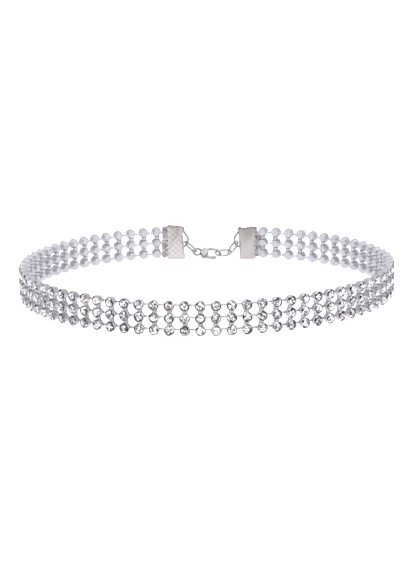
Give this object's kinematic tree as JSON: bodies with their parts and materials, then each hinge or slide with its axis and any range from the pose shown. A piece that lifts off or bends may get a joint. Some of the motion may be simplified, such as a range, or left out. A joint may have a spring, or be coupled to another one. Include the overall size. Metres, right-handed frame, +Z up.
{
  "type": "choker necklace",
  "caption": "Closed choker of soldered rows of cut stones in metal cups, with toothed end crimps, jump rings and a lobster clasp, standing on its edge.",
  "frame": {"origin": "under the middle of the closed loop's outline, on the surface that the necklace stands on", "axes": "+X along the loop's width, to the wearer's left, +Y towards the clasp, +Z up along the band's height; the stones' front is at -Y"},
  "size_m": [0.1102, 0.0998, 0.0105],
  "materials": {
    "stones": "clear foiled cut stones in bright silver-plated cups",
    "crimps": "knurled silver-plated sheet, slightly warm",
    "rings": "polished silver-plated wire",
    "clasp": "polished silver-plated casting"
  },
  "bodies": {
    "necklace": {"stone_rows_left": "stones", "stone_rows_right": "stones", "crimp_left": "crimps", "crimp_right": "crimps", "jump_ring_clasp": "rings", "jump_ring_hooked": "rings", "jump_ring_end": "rings", "clasp_body": "clasp"},
    "lever": {"clasp_lever": "clasp"}
  },
  "joints": [
    {"name": "lever_hinge", "type": "hinge", "parent": "necklace", "child": "lever", "pos_m": [-0.00082, 0.04537, 0.00127], "axis": [-0.0014, -0.6599, 0.7514], "range_deg": [0, 12], "stiffness_Nm_per_rad": 0.0005}
  ]
}
